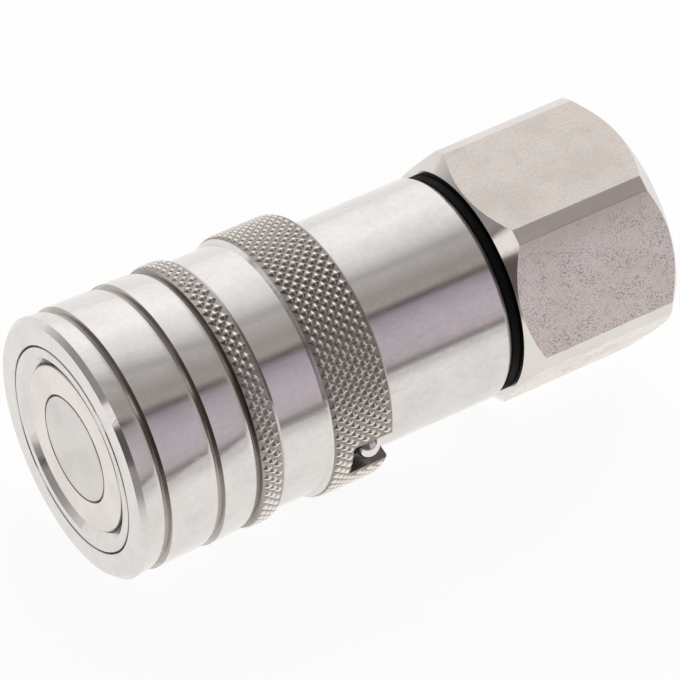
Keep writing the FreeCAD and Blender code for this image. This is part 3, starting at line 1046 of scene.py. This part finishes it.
@dataclass
class EndAdapter:
    """The hexagon end with its spigot and threaded port. Sizes are in mm, the thread's width in pitches."""

    spigot_front: float = 46.5
    spigot_bore: float = 11.55
    spigot_radius: float = 14.2
    spigot_chamfer: float = 0.5
    hex_front: float = 62.25
    hex_rear: float = 87.8
    hex_flats: float = 34.0
    corner_radius: float = 19.0
    face_radius: float = 16.8
    port_radius: float = 9.32
    port_chamfer: float = 1.3
    port_bottom: float = 73.3
    thread_pitch: float = 1.814
    thread_radius: float = 10.48
    thread_start: float = 74.9
    thread_flat: float = 0.14
    thread_width: float = 0.94
    thread_overlap: float = 0.12
    thread_overrun: float = 1.5
    spin_steps: int = 144
    thread_steps: int = 72
    smooth_angle: float = 24.0
    inside: Sequence[Corner] = (
        (73.3, 9.0), (69.64, 9.0), (69.64, 11.05), (67.04, 11.05), (67.04, 12.0), (66.04, 12.0),
        (66.04, 11.05), (50.0, 11.05), (50.0, 12.6), (48.1, 12.6), (48.1, 11.05), (47.0, 11.05),
    )

    def section(self) -> list[Corner]:
        """Draw the half section.

        Returns:
            Its corners from the spigot round to the bore.
        """
        bevel = self.corner_radius - self.face_radius
        return [
            (self.spigot_front, self.spigot_bore),
            (self.spigot_front, self.spigot_radius - self.spigot_chamfer),
            (self.spigot_front + self.spigot_chamfer, self.spigot_radius),
            (self.hex_front, self.spigot_radius),
            (self.hex_front, self.face_radius),
            (self.hex_front + bevel, self.corner_radius),
            (self.hex_rear - bevel, self.corner_radius),
            (self.hex_rear, self.face_radius),
            (self.hex_rear, self.port_radius + self.port_chamfer),
            (self.hex_rear - self.port_chamfer, self.port_radius),
            (self.port_bottom, self.port_radius),
        ] + list(self.inside)

    def build(self) -> Piece:
        """Turn the adapter, mill its flats and tap its port.

        Returns:
            The finished piece on its body.
        """
        piece = Bench.section("threaded_hexagon_end", self.section())
        Bench.spin(self.spin_steps)
        for side in range(6):
            self._mill_flat(math.radians(30.0 + 60.0 * side))
        Bench.weld()
        bpy.ops.object.mode_set(mode="OBJECT")
        self._tap_port(piece)
        Bench.smooth(piece, self.smooth_angle)
        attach(piece, "body")
        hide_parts("end_adapter")
        return piece

    def _mill_flat(self, angle: float) -> None:
        """Cut one flat of the edited adapter.

        Args:
            angle: Where the flat faces, in radians from -Y towards +Z.
        """
        outward = Vector((0.0, -math.cos(angle), math.sin(angle)))
        bpy.ops.mesh.select_all(action="SELECT")
        bpy.ops.mesh.bisect(
            plane_co=outward * (self.hex_flats / 2 * MM),
            plane_no=outward,
            use_fill=True,
            clear_outer=True,
            threshold=1e-7,
        )

    def _tap_port(self, piece: Piece) -> None:
        """Cut the port's thread with a coiled tool.

        Args:
            piece: The adapter in object mode.
        """
        half = self.thread_width / 2 * self.thread_pitch
        start = self.thread_start
        inner = self.port_radius - self.thread_overlap
        turns = math.ceil((self.hex_rear + self.thread_overrun - start) / self.thread_pitch)
        tool = Bench.section("thread_tool", [
            (start - half, inner),
            (start + half, inner),
            (start + self.thread_flat, self.thread_radius),
            (start - self.thread_flat, self.thread_radius),
        ])
        bpy.ops.object.mode_set(mode="OBJECT")
        Bench.coil(tool, turns, turns * self.thread_pitch, self.thread_steps)
        Bench.subtract(piece, tool)

    def dress(self, piece: Piece) -> None:
        """Give the turned parts a polished finish and the flats a granular one, with painted shade towards
        the top.

        Args:
            piece: The finished adapter.
        """
        turned = SteelFinish(
            "turned_hexagon_steel", (0.78, 0.75, 0.73), (0.69, 0.655, 0.63), 0.10, Grain.TURNED,
            line_mm=0.25, line_depth=0.12, scratch=0.25,
        )
        # The flats get painted shade towards the top.
        milled = SteelFinish(
            "granular_flat_steel", (0.98, 0.92, 0.87), (0.84, 0.795, 0.74), 0.27, Grain.DRAWN,
            line_mm=0.3, line_depth=0.10, pit=0.5, pit_mm=0.28, blotch=0.5, grit=0.85, top_shade=0.8,
        )
        Bench.coat(piece, [turned.material(), milled.material()])
        Bench.assign(piece, 1, self._is_flat)

    def _is_flat(self, face: bmesh.types.BMFace) -> bool:
        """Tell whether a face is one of the six flats."""
        across = face.normal.dot(face.calc_center_median())
        return abs(face.normal.x) < 1e-3 and abs(across - self.hex_flats / 2 * MM) < 2e-6


@dataclass
class Spring:
    """A round wire spring about the axis. Sizes are in mm."""

    name: str
    node: str
    front: float
    end: float
    radius: float
    wire: float
    turns: float
    wire_steps: int = 14
    turn_steps: int = 40
    smooth_angle: float = 40.0

    def build(self) -> Piece:
        """Wind the spring.

        Returns:
            The new coil, not yet on a body.
        """
        Bench.clear()
        bpy.ops.mesh.primitive_circle_add(
            vertices=self.wire_steps,
            radius=self.wire * MM,
            location=(station(self.front + self.wire), self.radius * MM, 0.0),
        )
        piece = bpy.context.object
        piece.name = self.name
        piece.data.name = self.name
        bpy.ops.object.transform_apply(location=True, rotation=True, scale=True)
        Bench.coil(piece, self.turns, self.end - self.front - 2 * self.wire, self.turn_steps)
        Bench.smooth(piece, self.smooth_angle)
        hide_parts(self.node)
        return piece


@dataclass
class SpringPair:
    """The sleeve's spring, which stretches, and the valve's spring, which is pressed."""

    sleeve: Spring = field(default_factory=lambda: Spring(
        "sleeve_spring_coil", "sleeve_spring", 21.95, 32.0, 15.8, 0.6, 4.5))
    valve: Spring = field(default_factory=lambda: Spring(
        "valve_spring_coil", "valve_spring", 22.05, 46.5, 12.2, 0.9, 4.0))
    valve_travel: float = 14.04

    def build(self) -> list[Piece]:
        """Wind both springs, bake the sleeve's coil in place and put the valve's coil on the body.

        Returns:
            Both coils.
        """
        stretched = self.sleeve.build()
        station(self.sleeve.front)
        station(self.sleeve.end)
        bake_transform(stretched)
        pressed = self.valve.build()
        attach(pressed, "body")
        station(self.valve.end)
        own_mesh(pressed)
        return [stretched, pressed]

    @staticmethod
    def dress(coils: Sequence[Piece]) -> None:
        """Give the springs a drawn wire finish.

        Args:
            coils: Both coils.
        """
        finish = SteelFinish(
            "spring_wire", (0.46, 0.46, 0.47), (0.30, 0.29, 0.28), 0.32, Grain.POLISHED,
            line_mm=0.2, line_depth=0.15,
        )
        wire = finish.material()
        for coil in coils:
            Bench.coat(coil, [wire])


@dataclass
class TurnedCore:
    """The pieces that are carried over from CAD, with their finishes."""

    body: str = "coupling_body"
    faces: str = "valve_sleeve"
    stem: str = "valve_stem"
    balls: int = 8

    def dress(self) -> None:
        """Give every carried-over node its finish."""
        barrel = SteelFinish(
            "polished_barrel_steel", (0.78, 0.762, 0.752), (0.69, 0.668, 0.655), 0.10,
            Grain.TURNED, line_mm=0.25, line_depth=0.16, scratch=0.9, haze=0.4, seams=(15.05,),
            # The barrel gets painted shade under the notch.
            tail=59.85, calm=2.5, notch_shade=(32.4, 36.0),
        )
        ring = SteelFinish(
            "satin_face_steel", (0.84, 0.80, 0.76), (0.78, 0.74, 0.70), 0.28, Grain.TURNED,
            line_mm=0.3, line_depth=0.14, scratch=0.25, seams=(12.25, 7.775),
        )
        disc = SteelFinish(
            "satin_stem_steel", (0.74, 0.715, 0.695), (0.68, 0.655, 0.635), 0.30, Grain.TURNED,
            line_mm=0.3, line_depth=0.10, scratch=0.25, seams=(7.775,),
        )
        bright = SteelFinish(
            "bright_ball_steel", (0.82, 0.82, 0.82), (0.74, 0.74, 0.74), 0.09, Grain.POLISHED,
            line_mm=0.3, line_depth=0.02, scratch=0.2,
        )
        dark = SteelFinish(
            "dark_ring_steel", (0.30, 0.30, 0.31), (0.20, 0.20, 0.20), 0.35, Grain.TURNED,
        )
        joint = RubberFinish(
            "joint_ring_rubber", (0.004, 0.004, 0.004), (0.008, 0.008, 0.008), 0.62, 0.14
        )
        seal = RubberFinish("seal_rubber_black", (0.014, 0.014, 0.014), (0.028, 0.028, 0.028))
        backup = PlasticFinish("backup_ring_white", (0.82, 0.81, 0.77), (0.70, 0.69, 0.64))
        balls = [f"locking_ball_{number}" for number in range(1, self.balls + 1)]
        for finish, names in (
            (barrel, [self.body]),
            (ring, [self.faces]),
            (disc, [self.stem]),
            (bright, balls + ["safety_ball"]),
            (dark, ["sleeve_stop_ring", "stem_retaining_ring"]),
            (joint, ["joint_seal"]),
            (seal, ["nipple_seal", "tail_seal", "stem_seal"]),
            (backup, ["nipple_backup_ring"]),
        ):
            self._paint(names, finish.material())

    @staticmethod
    def _paint(names: Sequence[str], material: bpy.types.Material) -> None:
        """Give some nodes one material.

        Args:
            names: Names of the nodes.
            material: Material for all of their slots.
        """
        for name in names:
            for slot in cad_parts[name].material_slots:
                slot.material = material
            LOG.info("dressed %s in %s", name, material.name)


@dataclass
class LightTent:
    """A white floor under a tent whose walls are shaded by the angle about the coupling's axis.

    The stops of the sides, the front and the rear run from -Y at 0 over +Z at 90 degrees.
    """

    floor_width: float = 6.0
    floor_white: Colour = (0.89, 0.89, 0.89)
    floor_mirrored: Colour = (0.875, 0.86, 0.84)
    floor_shade: Colour = (0.10, 0.09, 0.085)
    floor_lit: Colour = (0.80, 0.79, 0.77)
    floor_faint: Colour = (0.22, 0.22, 0.22)
    # Spans of the painted shadow and the painted shade on the floor that mirrors see.
    ahead_shadow_span: Span = (0.03, 0.11)
    far_shade_span: Span = (-0.06, -0.2)
    sides: Stops = (
        (-180.0, (1.10, 1.09, 1.09)), (-90.0, (1.0, 0.98, 0.95)), (-24.0, (0.91, 0.88, 0.84)),
        (-12.0, (0.78, 0.745, 0.72)), (-6.0, (0.68, 0.63, 0.61)), (-2.5, (0.42, 0.38, 0.37)),
        (0.0, (0.23, 0.205, 0.205)), (2.0, (0.30, 0.265, 0.275)), (6.0, (0.54, 0.48, 0.50)),
        (16.0, (0.59, 0.525, 0.575)), (28.0, (0.575, 0.515, 0.58)), (40.0, (0.50, 0.45, 0.515)),
        (50.0, (0.39, 0.35, 0.39)), (53.0, (0.26, 0.23, 0.24)), (55.5, (0.09, 0.085, 0.09)),
        (58.0, (0.22, 0.20, 0.19)), (61.5, (0.43, 0.385, 0.36)), (72.0, (0.39, 0.35, 0.335)),
        (82.0, (0.47, 0.44, 0.43)), (89.0, (0.53, 0.50, 0.49)), (95.0, (0.44, 0.43, 0.43)),
        (102.0, (0.66, 0.65, 0.66)), (113.0, (0.88, 0.87, 0.88)), (128.0, (1.02, 1.01, 1.02)),
        (142.0, (1.18, 1.16, 1.17)), (165.0, (1.15, 1.13, 1.14)), (180.0, (1.05, 1.04, 1.04)),
    )
    front: Stops = (
        (-180.0, (0.80, 0.77, 0.74)), (-10.0, (0.90, 0.86, 0.82)), (0.0, (0.17, 0.15, 0.145)),
        (10.0, (0.13, 0.115, 0.11)), (45.0, (0.115, 0.10, 0.095)), (62.0, (0.15, 0.135, 0.13)),
        (90.0, (0.19, 0.175, 0.17)), (104.0, (0.34, 0.32, 0.32)), (130.0, (0.34, 0.32, 0.32)),
        (150.0, (0.34, 0.33, 0.33)), (165.0, (0.50, 0.48, 0.47)), (180.0, (0.80, 0.77, 0.74)),
    )
    rear: Stops = (
        (-180.0, (1.05, 1.02, 0.96)), (-10.0, (1.0, 0.96, 0.90)), (5.0, (0.50, 0.47, 0.44)),
        (45.0, (0.50, 0.465, 0.435)), (64.0, (0.38, 0.355, 0.33)), (84.0, (0.40, 0.38, 0.355)),
        (104.0, (0.44, 0.42, 0.395)), (130.0, (0.50, 0.48, 0.455)), (155.0, (0.58, 0.56, 0.53)),
        (180.0, (0.80, 0.78, 0.75)),
    )
    front_span: Span = (0.05, -0.22)
    rear_span: Span = (0.58, 0.86)
    horizon: Colour = (0.15, 0.135, 0.125)
    horizon_span: Span = (0.82, 0.90)
    card: Colour = (1.05, 0.99, 0.97)
    card_middle: Corner = (-0.09, 0.39)
    card_lean: Corner = (0.907, 0.42)
    card_length: Span = (0.020, 0.007)
    card_width: Span = (0.012, 0.004)
    card_span: Span = (-0.6, -0.8)

    def build(self) -> None:
        """Lay the floor and hang the walls."""
        bpy.context.scene.view_settings.view_transform = "Standard"
        self._lay_floor()
        self._hang_walls()

    def _lay_floor(self) -> None:
        """Lay the floor under the lowest point of the part, with a painted shadow and painted shade that
        only mirrors see.
        """
        Bench.clear()
        bpy.ops.mesh.primitive_plane_add(size=self.floor_width, location=(0, 0, CAD_BOX[0][2]))
        floor = bpy.context.object
        floor.name = "tent_floor"
        paper = bpy.data.materials.new("white_paper")
        paper.use_nodes = True
        sheet = NodeSheet(paper.node_tree)
        seen = self._seen(sheet)
        mirror = sheet.node("LightPath", {}, "Is Glossy Ray")
        along, side, _ = sheet.split(sheet.node("TexCoord", {}, "Object"))
        # Painted shadow towards the camera's side and painted shade that grows on the -Y side, both seen
        # only in mirrors.
        ahead_shadow = (along * -0.8 - side * 0.6).between(*self.ahead_shadow_span) * 0.8
        far_shade = side.between(*self.far_shade_span) * 0.35
        tone = sheet.mix_colour(mirror, self.floor_white, self.floor_mirrored)
        tone = sheet.mix_colour(ahead_shadow.larger(far_shade) * mirror, tone, self.floor_shade)
        lit = sheet.node("BsdfDiffuse", {"Color": (*self.floor_lit, 1.0)})
        faint = sheet.node("BsdfDiffuse", {"Color": (*self.floor_faint, 1.0)})
        glow = sheet.node("Emission", {"Color": tone})
        white = sheet.node("AddShader", {0: faint, 1: glow})
        both = sheet.node("MixShader", {0: seen, 1: lit, 2: white})
        sheet.node("OutputMaterial", {"Surface": both})
        floor.data.materials.append(paper)

    @staticmethod
    def _seen(sheet: NodeSheet) -> Wire:
        """Tell the rays that see the tent from those that only light it.

        Args:
            sheet: The floor's nodes.

        Returns:
            1 for rays of the camera, mirrors and glass, and 0 for the rest.
        """
        camera = sheet.node("LightPath", {}, "Is Camera Ray")
        outputs = camera.socket.node.outputs
        mirror = Wire(sheet, outputs["Is Glossy Ray"])
        glass = Wire(sheet, outputs["Is Transmission Ray"])
        return camera.larger(mirror).larger(glass)

    def _hang_walls(self) -> None:
        """Shade the tent by the angle about the coupling's axis."""
        world = bpy.context.scene.world or bpy.data.worlds.new("tent")
        bpy.context.scene.world = world
        world.use_nodes = True
        sheet = NodeSheet(world.node_tree)
        towards = sheet.node("TexCoord", {}, "Generated")
        along, side, up = sheet.split(towards)
        turned = up.angle_over(0.0 - side) / (2 * math.pi) + 0.5
        cloths = []
        for walls in (self.sides, self.front, self.rear):
            stops = [(angle / 360.0 + 0.5, colour) for angle, colour in walls]
            cloths.append(sheet.node("ValToRGB", {0: turned}, stops=stops))
        cloth = sheet.mix_colour(along.between(*self.front_span), cloths[0], cloths[1])
        cloth = sheet.mix_colour(along.between(*self.rear_span), cloth, cloths[2])
        cloth = sheet.mix_colour(along.between(*self.horizon_span), cloth, self.horizon)
        run, rise = self.card_lean
        across, over = side - self.card_middle[0], up - self.card_middle[1]
        length = across * run + over * rise
        width = over * run - across * rise
        strip = (length * length).between(*self.card_length) * (width * width).between(*self.card_width)
        cloth = sheet.mix_colour(strip * along.between(*self.card_span), cloth, self.card)
        camera = sheet.node("LightPath", {}, "Is Camera Ray")
        colour = sheet.mix_colour(camera, cloth, (1.0, 1.0, 1.0))
        light = sheet.node("Background", {"Color": colour, "Strength": 1.0})
        sheet.node("OutputWorld", {"Surface": light})


@dataclass
class PhotoCamera:
    """The camera of the photograph. Angles are in degrees, its place in metres, its optics in mm."""

    place: tuple[float, float, float] = (-0.245738, -0.410701, 0.537150)
    azimuth: float = -35.0635
    elevation: float = 47.0182
    roll: float = 3.6969
    lens: float = 282.296
    sensor: float = 36.0

    def build(self) -> Piece:
        """Set up the camera.

        Returns:
            The camera, which the scene uses.
        """
        turned, raised, rolled = (
            math.radians(angle) for angle in (self.azimuth, self.elevation, self.roll)
        )
        level = Vector((math.cos(turned), math.sin(turned), 0.0))
        forward = Vector((
            -math.sin(turned) * math.cos(raised),
            math.cos(turned) * math.cos(raised),
            -math.sin(raised),
        ))
        upright = level.cross(forward)
        right = level * math.cos(rolled) + upright * math.sin(rolled)
        top = upright * math.cos(rolled) - level * math.sin(rolled)
        optics = bpy.data.cameras.new("photo_camera")
        optics.lens = self.lens
        optics.sensor_width = self.sensor
        optics.clip_start = 0.01
        camera = bpy.data.objects.new("photo_camera", optics)
        bpy.context.scene.collection.objects.link(camera)
        axes = Matrix((right, top, -forward)).transposed().to_4x4()
        camera.matrix_world = Matrix.Translation(self.place) @ axes
        bpy.context.scene.camera = camera
        return camera


def main() -> None:
    """Build the pieces in order and dress them."""
    logging.basicConfig(level=logging.INFO, format="%(name)s: %(message)s")
    Bench.sweep_out_defaults()
    PhotoCamera().build()
    LightTent().build()
    TurnedCore().dress()
    sleeve = LockingSleeve()
    knurled = sleeve.build()
    sleeve.dress(knurled)
    adapter = EndAdapter()
    threaded = adapter.build()
    adapter.dress(threaded)
    springs = SpringPair()
    coils = springs.build()
    springs.dress(coils)
    for piece in (knurled, threaded, *coils):
        LOG.info("%s has %d faces", piece.name, len(piece.data.polygons))


if __name__ == "__main__":
    main()
